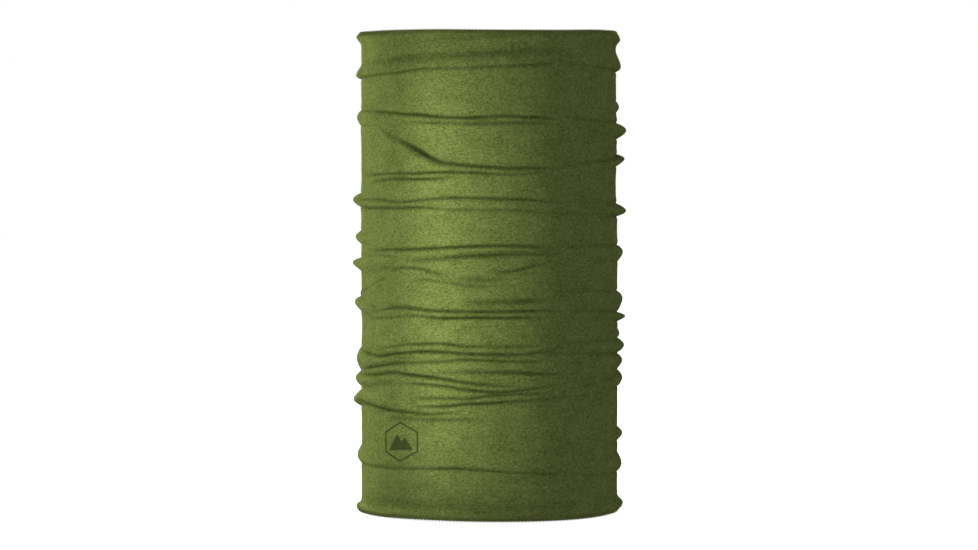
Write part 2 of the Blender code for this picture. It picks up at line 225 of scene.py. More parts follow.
# A crease is a line where the fabric tucks in. Its points are (angle, height, half width, depth). The angles
# and heights come from readings of the photograph. A separate script turned them into these units, and more
# than half are still as it printed them, rounded. The half widths were set by hand. So were the depths, but
# another script then scaled most of them down.
CREASES = {
    "soft_under_top_edge": (
        (-30, 321.5, 1.5, 0), (-20, 322, 1.6, 0.5), (-7, 322, 1.6, 0.5), (9, 324, 1.6, 0.4),
        (20, 324.5, 1.5, 0),
    ),
    "soft_over_top_ring": (
        (-72, 307, 1.5, 0), (-60, 307.5, 2.4, 0.4), (-32, 310, 3.2, 0.9), (-14, 311, 3.2, 0.9),
        (9, 313, 2.6, 0.7), (24, 314.5, 2.4, 0.5), (36, 315, 2, 0),
    ),
    "under_top_ring": (
        (-88, 296.5, 0.7, 0), (-78, 297, 0.7, 0.9), (-58, 298.5, 0.7, 0.9), (-43, 300, 0.7, 1.1),
        (-30, 302, 0.8, 1.3), (-14, 302.5, 0.8, 1.1), (5, 303.5, 0.8, 0.9), (23, 305, 0.8, 0.7),
        (34, 306, 0.8, 0),
    ),
    "over_upper_ring": (
        (-84, 274.5, 0.8, 0), (-70, 274, 0.8, 0.9), (-55, 273.5, 0.9, 1.1), (-40, 272, 1.1, 1.6),
        (-32, 271.5, 1.2, 1.8), (-21, 270, 1.1, 1.7), (-8, 269.5, 1.1, 1.6), (2, 270.5, 1, 1.3),
        (23, 269.5, 0.9, 1), (36, 268.5, 0.8, 0),
    ),
    "under_upper_ring": (
        (-40, 267, 1, 0), (-33, 266.5, 1.1, 0.9), (-18, 266, 1.1, 1), (-8, 265.5, 1.2, 1.1),
        (14, 266.5, 1.2, 0.9), (25, 266, 1, 0.6), (34, 266, 1, 0),
    ),
    "diagonal": (
        (-52, 260, 1, 0), (-46, 256, 1.4, 0.7), (-40, 252.3, 2, 1.5), (-34, 248.3, 2.4, 2),
        (-29, 244.7, 2.4, 2.1), (-23, 240.6, 1.9, 1.8), (-15, 238.6, 1.4, 1.6), (-4, 237.3, 1.2, 1.5),
        (8, 236, 1.2, 1.3), (25, 236, 1.1, 0.8), (36, 236, 1, 0),
    ),
    "under_diagonal": (
        (-74, 229.5, 0.8, 0), (-66, 230.5, 0.8, 0.8), (-48, 232, 0.9, 1.1), (-32, 232.7, 0.9, 1.7),
        (-18, 233.5, 0.9, 1.7), (-6, 233, 0.8, 1.5), (9, 232, 0.8, 0.9), (23, 233, 0.8, 0.6),
        (32, 233, 0.8, 0),
    ),
    "under_narrow_left": (
        (-66, 226, 0.8, 0), (-60, 226.5, 0.8, 0.6), (-48, 228.5, 0.9, 1.1), (-32, 228.7, 0.9, 1.8),
        (-21, 229.5, 0.9, 1.2), (-13, 232, 0.8, 0),
    ),
    "over_upper_middle": (
        (-84, 214.3, 0.8, 0), (-75, 214.3, 0.9, 0.7), (-55, 214.3, 1, 1.1), (-43, 213.2, 1, 1.1),
        (-32, 214.8, 1, 1.3), (-20, 216.2, 1, 1.4), (-6, 216.5, 0.9, 1.4), (5, 215.7, 0.9, 1.3),
        (18, 215, 0.9, 1.1), (26, 213.5, 0.9, 0.7), (36, 213, 0.9, 0),
    ),
    "under_upper_middle": (
        (-78, 208.5, 0.8, 0), (-68, 208.5, 0.9, 0.9), (-55, 209, 0.9, 1.1), (-43, 209.2, 1, 1.3),
        (-32, 210, 1.1, 1.4), (-21, 209, 1, 1), (-8, 208.4, 1, 0.9), (10, 208.4, 1, 0.9),
        (18, 207.7, 1, 0.6), (28, 207.5, 1, 0),
    ),
    "over_middle": (
        (-68, 179, 0.9, 0), (-60, 179.8, 0.9, 0.7), (-48, 181, 1, 1.1), (-34, 182, 1.1, 1.7),
        (-20, 183.3, 1.1, 1.7), (-2, 184.6, 1.1, 1.6), (8, 184.6, 1, 1.3), (18, 183.8, 1, 1),
        (26, 182, 0.9, 0.6), (36, 181, 0.9, 0),
    ),
    "under_middle": (
        (-42, 174.5, 1.2, 0), (-34, 174.8, 1.6, 0.8), (-23, 175.8, 1.6, 1.2), (-12, 177.8, 2, 1.4),
        (-2, 178.4, 1.9, 1.4), (9, 179, 1.7, 1.2), (25, 179.5, 1.3, 0.7), (34, 180, 1, 0),
    ),
    "arc_left": (
        (-52, 166.5, 0.8, 0), (-47, 168, 0.9, 0.7), (-40, 169.4, 0.9, 1.2), (-32, 169, 1, 1.4),
        (-26, 167, 1.2, 1.3), (-20, 165.5, 1, 0.6), (-15, 165, 0.8, 0),
    ),
    "under_short_right": (
        (-2, 167.4, 1, 0), (4, 167.4, 1.2, 0.8), (9, 167.5, 1.2, 1), (14, 169.3, 1.2, 1.1),
        (20, 171.2, 1.1, 0.9), (26, 173, 1, 0.5), (32, 174, 1, 0),
    ),
    "over_waist_diagonal": (
        (-86, 148, 0.8, 0), (-78, 151, 0.9, 0.7), (-68, 154.3, 0.9, 0.9), (-60, 158, 0.9, 0.7),
        (-52, 161.3, 0.9, 0.5), (-46, 163, 0.8, 0),
    ),
    "soft_centre": (
        (-38, 161.5, 1.5, 0), (-27, 161.5, 1.6, 0.9), (-18, 160, 1.6, 0.8), (-8, 158, 1.3, 1),
        (0, 157.8, 1.2, 0.6), (8, 157.5, 1, 0),
    ),
    "soft_centre_high": (
        (-16, 163, 1.2, 0), (-8, 162.5, 1.8, 0.9), (2, 162, 1.6, 0.8), (10, 162, 1.2, 0),
    ),
    "under_above_waist": (
        (-14, 146.5, 1.6, 0), (-6, 147, 2, 0.8), (5, 147.6, 2, 1.1), (18, 148, 1.8, 1.1),
        (26, 148.5, 1.6, 0.5), (36, 149, 1.5, 0),
    ),
    "over_waist": (
        (-66, 138, 0.9, 0), (-57, 139.5, 1, 0.8), (-50, 141.5, 1, 1.1), (-39, 142.5, 1.1, 1.4),
        (-28, 141.5, 1.1, 1.6), (-11, 141, 1.1, 1.6), (2, 141, 1.1, 1.5), (25, 141.2, 1, 0.8),
        (36, 141, 1, 0),
    ),
    "under_waist": (
        (-60, 134, 0.8, 0), (-52, 135, 0.8, 0.5), (-32, 137.5, 0.9, 1.2), (-25, 136.7, 1, 1.5),
        (-6, 137, 1, 1.9), (18, 136.8, 1, 0.9), (28, 136.8, 1, 0),
    ),
    "over_cluster": (
        (-60, 113.5, 0.8, 0), (-51, 115, 0.9, 0.8), (-40, 118, 1, 1.1), (-28, 119, 1, 1.7),
        (-21, 119.5, 1, 1.6), (-11, 118, 0.9, 1.5), (0, 118, 0.9, 1.1), (14, 117.7, 0.9, 0.8),
        (28, 118, 0.9, 0),
    ),
    "in_cluster": (
        (-86, 111.5, 0.9, 0), (-78, 110.8, 1, 0.9), (-68, 109.6, 1, 1.1), (-55, 108.9, 1.2, 1.5),
        (-45, 111.6, 1.1, 1.4), (-32, 113.7, 1.1, 1.7), (-22, 114, 1.1, 1.7), (-11, 113.1, 1, 1.6),
        (2, 112.6, 1, 1.5), (14, 112.4, 0.9, 1.1), (24, 114, 0.9, 0.6), (34, 115, 0.9, 0),
    ),
    "in_cluster_short": (
        (-52, 108, 0.7, 0), (-46, 108.8, 0.8, 0.5), (-37, 109.4, 0.8, 0.7), (-26, 109, 0.8, 0),
    ),
    "under_cluster": (
        (-78, 98, 0.9, 0), (-70, 99.3, 0.9, 0.9), (-55, 102.7, 1, 1.1), (-45, 105, 1, 1.1),
        (-32, 106.5, 1, 1.2), (-20, 107.7, 1, 1.3), (-11, 109, 1, 1.4), (0, 108.6, 1, 1.2),
        (14, 107.8, 1, 0.8), (28, 107.5, 1, 0),
    ),
    "soft_over_spiral": (
        (-36, 99.5, 1.2, 0), (-26, 100, 1.3, 0.5), (-8, 100.5, 1.3, 1), (9, 100.5, 1.2, 1.3),
        (26, 99, 1.3, 0.8), (36, 98.5, 1.2, 0),
    ),
    "over_spiral": (
        (-84, 94.5, 0.9, 0), (-76, 95.2, 1, 0.9), (-58, 96.4, 1.3, 1.6), (-47, 98.6, 1.1, 1.4),
        (-38, 98, 1.2, 1.8), (-29, 97.2, 1.3, 1.9), (-19, 95.7, 1.1, 1.7), (-11, 94, 1, 1.6),
        (-3, 92.7, 1, 1.5), (6, 91.4, 0.9, 1), (14, 90.5, 0.9, 0),
    ),
    "under_spiral": (
        (-44, 92, 0.8, 0), (-38, 92, 0.9, 0.9), (-29, 92, 1, 1.4), (-19, 91, 1, 1.5), (-11, 89.3, 1, 1.6),
        (-3, 88, 1, 1.6), (5, 87.4, 1, 1.5), (13, 88.6, 1, 1.2), (23, 90.2, 1, 0.8), (32, 92.5, 1, 0),
    ),
    "over_spiral_start": (
        (-38, 82.5, 0.9, 0), (-30, 82.6, 1, 1.1), (-18, 83.1, 1, 1.4), (-8, 83.4, 1, 1.5), (0, 85.2, 1, 1.5),
        (11, 86, 1, 1.1), (26, 86.1, 1, 0.5), (34, 86, 1, 0),
    ),
    "under_spiral_start": (
        (-36, 77, 0.9, 0), (-30, 77.2, 1, 1.2), (-19, 77.8, 1, 1.7), (-11, 79.4, 1, 1.7), (0, 80.2, 1, 1.5),
        (11, 81.4, 1, 1), (26, 82.3, 1, 0.6), (36, 83, 1, 0),
    ),
    "under_low_left": (
        (-82, 77.5, 0.9, 0), (-72, 77.2, 1, 0.9), (-60, 74.5, 1.1, 1.2), (-48, 73, 1.1, 1.3),
        (-38, 72.5, 1.1, 1.5), (-29, 72, 1.1, 1.4), (-18, 73.2, 1, 0.9), (-10, 74, 1, 0),
    ),
    "soft_under_low_left": (
        (-54, 68.5, 1.3, 0), (-46, 68.4, 1.5, 0.5), (-32, 68.4, 1.6, 0.9), (-11, 68.8, 1.5, 0.8),
        (0, 69, 1.4, 0),
    ),
    "soft_over_bottom_edge": (
        (-84, 9, 3, 0), (-60, 9, 4, 0.5), (-26, 11, 3.5, 0.45), (0, 9, 4, 0.6), (30, 9, 4, 0.3),
        (45, 9, 3, 0),
    ),
    "under_low_ring": (
        (-80, 34, 0.7, 0), (-68, 33.7, 0.7, 0.6), (-55, 33.5, 0.7, 0.7), (-38, 34.7, 0.8, 1),
        (-25, 35.7, 0.9, 1.4), (-14, 36.3, 1, 1.5), (-6, 35.8, 0.9, 1.2), (5, 34.5, 0.8, 1),
        (16, 33.5, 0.8, 0.7), (30, 31.8, 0.8, 0.6), (40, 31.8, 0.8, 0),
    ),
}
LIP = 0.08  # how far the fabric beside a fold is drawn out, as a share of the fold's depth
LIP_REACH = 1.5
CREASE_DEPTH = 1.5  # the fabric tucks in this far along a fold's crisp edge, where it has no crease above
CREASE_HALF_WIDTH = 0.8
CREASE_SOFTNESS = 0.35  # radius of the bend at the bottom of a crease
FULL_CREASE = 1.4  # a fold this deep has a crease of full depth
# The share of its depth that a fold keeps where the knit is pulled flatter, across the front. (angle, share)
PULL = (
    (-90, 1), (-66, 0.72), (-45, 0.42), (-10, 0.36), (25, 0.4), (55, 0.5), (74, 0.75), (90, 1), (180, 1),
)
# The share of its depth that the crease beside a fold has, where the list of creases doesn't take over
EDGE_CREASE = (
    (-90, 0.35), (-75, 0.25), (-45, 0.15), (20, 0.15), (50, 0.25), (72, 0.3), (92, 0.7), (120, 1), (225, 1),
)

# The two cut edges. The tube flares most a little way in from them: (angle, how far, how far in). The edges
# themselves rise and dip in a wave: (angle, height).
BOTTOM_FLARE = (
    (-90, 3.3, 1.6), (-62, 2, 1.8), (-30, 1.2, 3.2), (0, 1.4, 4), (45, 1.9, 4.4), (90, 3.9, 4.4),
    (135, 2.2, 4.4), (180, 1.8, 4), (225, 2.6, 2.6),
)
TOP_FLARE = (
    (-90, 3, 3.2), (-45, 1.7, 3.2), (0, 1.4, 4), (45, 1.7, 4.4), (90, 3, 4.8), (135, 1.8, 4.4),
    (180, 0.8, 4.4), (225, 1.8, 3.6),
)
FLARE_REACH = 2.9  # how far the flare spreads each way from where it is most
BOTTOM_WAVE = (
    (-90, 0), (-60, 0), (-30, 1), (-5, 0.9), (20, 0.5), (45, 0), (90, 0), (135, 0.5), (180, 0.1), (225, 0.4),
)
TOP_WAVE = (
    (-90, 0.2), (-60, 0.5), (-30, 0.6), (0, 0.2), (30, 0.3), (60, 1.2), (90, 0.7), (135, -0.4), (180, 0),
    (225, -0.3),
)

# The right side is drawn in by this much. It starts at one height and is complete at another.
DRAW_IN = 1.3
DRAW_IN_START = 160
DRAW_IN_FULL = 235

# Soft unevenness all over: (seed, size, length round the tube, length up it)
RIPPLES = ((3, 0.35, 30, 9), (5, 0.14, 22, 2.2), (8, 0.05, 6, 1.0))

# Emblem
EMBLEM_LOW, EMBLEM_HIGH = (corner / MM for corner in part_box("emblem_outline"))
EMBLEM_HEIGHT = (EMBLEM_LOW.z + EMBLEM_HIGH.z) / 2
EMBLEM_HALF = (EMBLEM_HIGH.z - EMBLEM_LOW.z) / 2
EMBLEM_ANGLE = math.degrees(math.atan2(EMBLEM_LOW.x + EMBLEM_HIGH.x, -(EMBLEM_LOW.y + EMBLEM_HIGH.y)))
EMBLEM_STRETCH = 1.33  # width gained round the tube against height
EMBLEM_SLANT = 0.08  # its rise from left to right, per unit across before the stretch
EMBLEM_LINE = 1.1
PEAKS = ((-0.62, -0.40), (-0.16, 0.38), (0.06, 0.02), (0.24, 0.24), (0.62, -0.40))  # in its half heights
FILM_LIFT = 0.10  # the print's face above the fabric
FILM_THICKNESS = 1.4 * FILM_LIFT  # its back lies just inside the fabric
FILM_EDGE = 0.9  # the longest edge in its mesh, so that it follows the fabric
FILM_CUTS = 6  # rounds of cutting that are enough to reach it

# Stitches
STITCHES = 216  # round each edge
LOOPER_LIFT = 0.30  # a looper thread's middle above the fabric's face
LOOPER_RADIUS = 0.21
NEEDLE_RADIUS = 0.20
INNER_LOOPER_SHIFT = 0.04  # the inner loops lie this share of a stitch further round than the outer ones
EDGE_WRAP = 0.42  # a looper's middle passes this far outside the cut edge

# Care label: a ribbon folded double
LABEL_FABRIC = 0.22
LABEL_GAP = 0.26  # from the middle between the layers to each of them
SEWN_GAP = 0.12  # the same, where its ends are sewn together
SEWN_LABEL = 2 * SEWN_GAP + LABEL_FABRIC
LABEL_INSET = 0.3  # its ends stop this far short of the fabric's cut edge
LABEL_OPENS = 8  # the layers part within this distance of the sewn ends
LABEL_BEND = 5  # it stands off the fabric within this distance of its sewn ends
LABEL_BULGE = 0.7  # how much further apart the layers are halfway down, as a share of their gap
LABEL_CURL = 0.55  # how far its sides stand in front of its middle, curled the way the tube is
SEWN_CURL = 0.27  # extra curl at its sewn ends
LABEL_HANG = 0.5  # how far its fold hangs away from the wall
LABEL_RIPPLE = 0.10
LABEL_BAND_START = 10.4  # of the denser woven band along each side, from the ribbon's middle
LABEL_RIB = 0.45  # from one of its woven ribs to the next
LABEL_HALF_ANGLE = 8.2  # of the tube that its width covers
LABEL_COLUMNS = 17
LABEL_LEG_ROWS = 30  # down each layer
LABEL_TURN_ROWS = 9  # round its fold

# Curves and fields


def smooth_curve(at, points, column, closed):
    """The value in this column of points (angle first), drawn smoothly through them, at these angles."""
    table = np.array(points, float)
    angles, values = table[:, 0], table[:, column]
    if closed:
        angles = np.concatenate([angles[-2:] - 360, angles, angles[:3] + 360])
        values = np.concatenate([values[-2:], values, values[:3]])
    slopes = np.gradient(values, angles)
    i = np.clip(np.searchsorted(angles, at) - 1, 0, len(angles) - 2)
    step = angles[i + 1] - angles[i]
    t = (at - angles[i]) / step
    start, end = values[i], values[i + 1]
    bend_in = slopes[i] * step
    bend_out = slopes[i + 1] * step
    return (
        start * (1 + 2 * t) * (1 - t) ** 2
        + bend_in * t * (1 - t) ** 2
        + end * t * t * (3 - 2 * t)
        + bend_out * t * t * (t - 1)
    )


def ring_curve(angle, points, column=1):
    """A smooth closed curve of points (angle first) at any angles."""
    first = points[0][0]
    return smooth_curve((angle - first) % 360 + first, points, column, True)


def rise(share, crispness):
    """From 0 at a fold's edge to 1 at its crest. A crisp edge starts steeply and a soft one eases in."""
    share = np.clip(share, 0, 1)
    steep = 1 - (1 - share) ** 2
    eased = share * share * (3 - 2 * share)
    return crispness * steep + (1 - crispness) * eased


def fold_shape(fold, angle, height):
    """How far this fold lifts the fabric, and how far its creases tuck it in, in millimetres. Both are tables
    for these heights (a table) and angles (one for each column)."""
    bulge = np.zeros_like(height)
    crease = np.zeros_like(height)
    first = fold.points[0][0]
    last = first + 360 if fold.ring else fold.points[-1][0]
    for turn in (-720, -360, 0, 360, 720):
        at = angle + turn
        on = (at >= first) & (at < last)
        if not on.any():
            continue
        centre, half, depth = (smooth_curve(at[on], fold.points, column, fold.ring) for column in (1, 2, 3))
        depth = np.maximum(depth, 0)
        across = (height[:, on] - centre) / half
        above = rise((1 - across) / (1 - fold.lean), fold.upper)
        below = rise((1 + across) / (1 + fold.lean), fold.lower)
        crispness = np.where(across > 0, fold.upper, fold.lower)
        outside = (np.abs(across) - 1) * half
        beyond = np.maximum(outside, 0) / LIP_REACH
        lip = LIP * crispness * beyond * np.exp(1 - beyond)
        lift = depth * ring_curve(at[on], PULL) * (np.where(across > fold.lean, above, below) + lip)
        bulge[:, on] = np.maximum(bulge[:, on], lift)
        crease_share = np.clip(depth / FULL_CREASE, 0, 1)
        tuck = CREASE_DEPTH * crispness**2 * crease_share * ring_curve(at[on], EDGE_CREASE)
        tuck = tuck * np.exp(-((outside / CREASE_HALF_WIDTH) ** 2))
        crease[:, on] = np.maximum(crease[:, on], tuck)
    return bulge, crease


def crease_shape(points, angle, height):
    """How far this crease tucks the fabric in, at a table of heights with these angles for its columns."""
    crease = np.zeros_like(height)
    on = (angle >= points[0][0]) & (angle <= points[-1][0])
    centre, half, depth = (smooth_curve(angle[on], points, column, False) for column in (1, 2, 3))
    crease[:, on] = np.maximum(depth, 0) * np.exp(-(((height[:, on] - centre) / half) ** 2))
    return crease


def soft_noise(shape, seed, round_length, up_length, cell):
    """Seeded noise, about -1 to 1, smoothed over these lengths. It meets itself round the tube."""
    noise = np.random.default_rng(seed).standard_normal(shape)
    up = np.fft.fftfreq(shape[0], cell[0])[:, None]
    across = np.fft.rfftfreq(shape[1], cell[1])[None, :]
    keep = np.exp(-2 * (math.pi * up * up_length) ** 2 - 2 * (math.pi * across * round_length) ** 2)
    field = np.fft.irfft2(np.fft.rfft2(noise) * keep, s=shape)
    return field / (2.5 * field.std())


def smooth_rows(field, radius, cell):
    """Smooths a table up and down over this radius."""
    reach = int(math.ceil(3 * radius / cell))
    weights = np.exp(-0.5 * (np.arange(-reach, reach + 1) * cell / radius) ** 2)
    weights /= weights.sum()
    padded = np.pad(field, ((reach, reach), (0, 0)), mode="edge")
    return sum(weight * padded[i : i + len(field)] for i, weight in enumerate(weights))


def between(first, second, share):
    """The value this share of the way from the first to the second."""
    return first * (1 - share) + second * share


class Fabric:
    """The knit's outer face: its radius and crease depth, in tables whose rows are even height shares and
    whose columns are angles. low and high are the heights of its cut edges, one for each column."""

    def __init__(self):
        self.angle = np.arange(COLUMNS) * 360 / COLUMNS - 180
        self.low = ring_curve(self.angle, BOTTOM_WAVE) + CUT_EDGE
        self.high = HEIGHT + ring_curve(self.angle, TOP_WAVE) - CUT_EDGE
        self.share = np.linspace(0, 1, FINE_ROWS)
        self.cell = HEIGHT / FINE_ROWS
        self.height = self.low + self.share[:, None] * (self.high - self.low)
        bulge = np.zeros_like(self.height)
        crease = np.zeros_like(self.height)
        for fold in FOLDS:
            fold_bulge, fold_crease = fold_shape(fold, self.angle, self.height)
            bulge = np.maximum(bulge, fold_bulge)
            crease = np.maximum(crease, fold_crease)
        for points in CREASES.values():
            crease = np.maximum(crease, crease_shape(points, self.angle, self.height))
        grain = (self.cell, 2 * math.pi * TUBE_RADIUS / COLUMNS)
        for seed, size, round_length, up_length in RIPPLES:
            bulge = bulge + size * soft_noise(bulge.shape, seed, round_length, up_length, grain)
        shape = smooth_rows(bulge - crease, CREASE_SOFTNESS, self.cell)
        self.radius = TUBE_RADIUS + shape + self.edge_flare() - self.draw_in()
        self.crease = smooth_rows(crease, CREASE_SOFTNESS, self.cell) / CREASE_DEPTH

    def edge_flare(self):
        """The roll outwards beside each cut edge."""
        shape = np.zeros_like(self.height)
        from_bottom = self.height - self.low
        from_top = self.high - self.height
        for points, from_edge in ((BOTTOM_FLARE, from_bottom), (TOP_FLARE, from_top)):
            flare, how_far_in = (ring_curve(self.angle, points, column) for column in (1, 2))
            shape += flare * np.exp(-(((from_edge - how_far_in) / FLARE_REACH) ** 2))
        return shape

    def draw_in(self):
        """How far the upper part of the tube's right side is drawn in."""
        share = np.clip((self.height - DRAW_IN_START) / (DRAW_IN_FULL - DRAW_IN_START), 0, 1)
        side = np.maximum(np.sin(np.radians(self.angle)), 0)
        return DRAW_IN * side * side * share * share * (3 - 2 * share)

    def mesh_rows(self):
        """The height share of each mesh point: rows crowd into the creases, and so run along them."""
        slope = np.abs(np.gradient(self.radius, self.cell, axis=0))
        crowding = 1 + ROWS_AT_CREASE * smooth_rows(np.sqrt(self.crease), CREASE_FADE, self.cell)
        crowding = crowding + ROWS_ON_SLOPE * smooth_rows(slope, SLOPE_FADE, self.cell)
        count = np.cumsum(crowding, axis=0)
        count = (count - count[0]) / (count[-1] - count[0])
        wanted = np.linspace(0, 1, ROWS)
        return np.stack([np.interp(wanted, column, self.share) for column in count.T], axis=1)

    def sample(self, table, shares, step=1):
        """A table's values at these height shares, for one column in every step."""
        columns = zip(shares.T, table.T[::step])
        return np.stack([np.interp(column, self.share, values) for column, values in columns], axis=1)

    def radius_at(self, angle, height):
        """The outer face's radius at any angle and height, both arrays."""
        column = (np.asarray(angle, float) + 180) % 360 / 360 * COLUMNS
        left = np.floor(column).astype(int) % COLUMNS
        right = (left + 1) % COLUMNS
        side = column - np.floor(column)
        low = between(self.low[left], self.low[right], side)
        high = between(self.high[left], self.high[right], side)
        row = np.clip((height - low) / (high - low), 0, 1) * (FINE_ROWS - 1)
        under = np.minimum(np.floor(row).astype(int), FINE_ROWS - 2)
        near_left, near_right = (
            between(self.radius[under, near], self.radius[under + 1, near], row - under)
            for near in (left, right)
        )
        return between(near_left, near_right, side)


def place(angle, radius, height):
    """Points in metres from angles in degrees, and radii and heights in millimetres."""
    turn = np.radians(angle)
    x = radius * np.sin(turn)
    y = -radius * np.cos(turn)
    return np.stack(np.broadcast_arrays(x, y, height), axis=-1) * MM


def new_object(name, data, material=None):
    """Puts this mesh, curve, camera or light in the scene."""
    obj = bpy.data.objects.new(name, data)
    bpy.context.scene.collection.objects.link(obj)
    if material:
        data.materials.append(material)
    return obj


# Fabric


def grid_faces(rows, columns, first, outwards):
    """Quads of a closed band of points, whose numbers start at first."""
    row = np.arange(rows - 1)[:, None]
    column = np.arange(columns)[None, :]
    near = first + row * columns + column
    far = first + row * columns + (column + 1) % columns
    corners = [near, far, far + columns, near + columns]
    faces = np.stack(corners if outwards else corners[::-1], axis=-1)
    return faces.reshape(-1, 4)


def fabric_faces(inner_rows):
    """The faces of the closed sheet, whose inner face's points follow its outer face's."""
    inner_columns = COLUMNS // INNER_STEP
    first_inner = ROWS * COLUMNS
    faces = grid_faces(ROWS, COLUMNS, 0, True).tolist()
    faces += grid_faces(inner_rows, inner_columns, first_inner, False).tolist()
    last_outer = (ROWS - 1) * COLUMNS
    last_inner = first_inner + (inner_rows - 1) * inner_columns
    for outer_start, inner_start, is_bottom in ((0, first_inner, True), (last_outer, last_inner, False)):
        for i in range(inner_columns):
            rim = [outer_start + (i * INNER_STEP + k) % COLUMNS for k in range(INNER_STEP + 1)]
            face = rim + [inner_start + (i + 1) % inner_columns, inner_start + i]
            faces.append(face[::-1] if is_bottom else face)
    return faces


def lowest_nearby(table, reach, cell):
    """The lowest value within this reach up and down, softened."""
    steps = round(reach / cell)
    padded = np.pad(table, ((steps, steps), (0, 0)), mode="edge")
    lowest = np.min([padded[i : i + len(table)] for i in range(2 * steps + 1)], axis=0)
    return smooth_rows(lowest, reach / 2, cell)


def length_share(fabric):
    """How far up the fabric itself each point lies, over its folds, as a share of its whole length."""
    climb = np.hypot(np.diff(fabric.radius, axis=0), np.diff(fabric.height, axis=0))
    along = np.concatenate([np.zeros((1, COLUMNS)), np.cumsum(climb, axis=0)])
    return along / along[-1]


def knit_map(mesh, across, along):
    """A UV map of each point's share round the tube and up the fabric. The face that closes the ring runs on
    past 1, so that it doesn't span the whole map."""
    corner = np.zeros(len(mesh.loops), int)
    mesh.loops.foreach_get("vertex_index", corner)
    first_corner = np.zeros(len(mesh.polygons), int)
    mesh.polygons.foreach_get("loop_start", first_corner)
    u = across[corner]
    polygon = np.searchsorted(first_corner, np.arange(len(corner)), side="right") - 1
    widest = np.maximum.reduceat(u, first_corner)[polygon]
    u = np.where(widest - u > 0.5, u + 1, u)
    uv = np.stack([u, along[corner]], axis=-1)
    mesh.uv_layers.new(name="knit").data.foreach_set("uv", uv.astype(np.float32).ravel())


def build_fabric(fabric, material):
    """One closed sheet: the outer face, a coarser inner face, and the two cut edges between them."""
    shares = fabric.mesh_rows()
    rows = np.unique(np.append(np.arange(0, ROWS, INNER_STEP), ROWS - 1))
    inner_shares = shares[rows][:, ::INNER_STEP]

    def on_outer(table):
        return fabric.sample(table, shares)

    def on_inner(table):
        return fabric.sample(table, inner_shares, INNER_STEP)

    def both_faces(table):
        return np.concatenate([on_outer(table).ravel(), on_inner(table).ravel()])

    inner_radius = lowest_nearby(fabric.radius, INNER_REACH, fabric.cell) - FABRIC_THICKNESS
    outer = place(fabric.angle, on_outer(fabric.radius), on_outer(fabric.height))
    inner = place(fabric.angle[::INNER_STEP], on_inner(inner_radius), on_inner(fabric.height))
    mesh = bpy.data.meshes.new("knit_fabric")
    points = np.concatenate([outer.reshape(-1, 3), inner.reshape(-1, 3)])
    mesh.from_pydata(points.tolist(), [], fabric_faces(len(rows)))
    mesh.shade_smooth()
    across = np.broadcast_to(np.arange(COLUMNS) / COLUMNS, fabric.radius.shape)
    knit_map(mesh, both_faces(across), both_faces(length_share(fabric)))
    # The crease depth is kept as an attribute, which the knit material uses to paint shade into the creases.
    layer = mesh.attributes.new("crease", "FLOAT", "POINT")
    layer.data.foreach_set("value", both_faces(fabric.crease).astype(np.float32))
    obj = new_object("folded_knit_tube", mesh, material)
    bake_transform(obj)
    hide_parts("knit_tube")


# Stitches


def thread(name, body, node, points, radius, material):
    """A closed thread through these points."""
    curve = bpy.data.curves.new(name, "CURVE")
    curve.dimensions = "3D"
    curve.bevel_depth = radius * MM
    curve.bevel_resolution = 1
    spline = curve.splines.new("POLY")
    spline.points.add(len(points) - 1)
    spline.points.foreach_set("co", np.column_stack([points, np.ones(len(points))]).ravel())
    spline.use_cyclic_u = True
    spline.use_smooth = True
    obj = new_object(name, curve, material)
    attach(obj, body)
    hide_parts(node)


def stitch_points(fabric, top, shape):
    """Repeats one stitch's shape round an edge. Each of its points is (share of the stitch, distance in from
    the cut edge, lift): lift is above the outer face when it is positive, and below the inner face when it is
    negative. Inside the top edge, the thread also passes over the care label's sewn end."""
    share, inwards, lift = np.tile(np.array(shape), (STITCHES, 1)).T
    stitch = np.repeat(np.arange(STITCHES), len(shape))
    angle = (stitch + share) * (360 / STITCHES) - 180
    edge = np.interp(angle, fabric.angle, fabric.high if top else fabric.low, period=360)
    height = edge - inwards if top else edge + inwards
    over_label = top & (np.abs((angle + 360) % 360 - 180) < LABEL_HALF_ANGLE)
    below = FABRIC_THICKNESS + np.where(over_label, SEWN_LABEL, 0)
    lift = np.where(lift >= 0, lift, lift - below)
    return place(angle, fabric.radius_at(angle, height) + lift, height)


def looper_shape(side, phase):
    """One overlock loop: out from the needle line to the cut edge, round it, and back. side is 1 on the outer
    face and -1 on the inner, and phase shifts the loop round the edge by a share of a stitch."""
    lift = side * LOOPER_LIFT
    needle = NEEDLE_LINE - CUT_EDGE
    legs = (
        (0.00, needle, 0.5 * lift),
        (0.10, needle - 0.25, lift),
        (0.24, 0.60 * needle, 1.15 * lift),
        (0.40, 0.15 * needle, 1.1 * lift),
        (0.47, -0.25, 0.4 * lift),
    )
    middle = ((0.50, -EDGE_WRAP, -0.001 if side < 0 else 0.0),)  # the sign keeps it on its own face
    back = tuple((1 - share, inwards, height) for share, inwards, height in legs[:0:-1])
    return tuple((share + phase, inwards, height) for share, inwards, height in legs + middle + back)


def build_edge(fabric, prefix, body, top, material):
    """The three threads of one overlocked edge."""
    needle = NEEDLE_LINE - CUT_EDGE
    needle_shape = ((0.0, needle, 0.0), (0.15, needle, 0.3), (0.5, needle, 0.42), (0.85, needle, 0.3))
    for part, shape, radius in (
        ("outer_looper_thread", looper_shape(1, 0.0), LOOPER_RADIUS),
        ("inner_looper_thread", looper_shape(-1, INNER_LOOPER_SHIFT), LOOPER_RADIUS),
        ("needle_thread", needle_shape, NEEDLE_RADIUS),
    ):
        points = stitch_points(fabric, top, shape)
        thread(f"{prefix}_{part}_stitches", body, f"{prefix}_{part}", points, radius, material)


# Emblem


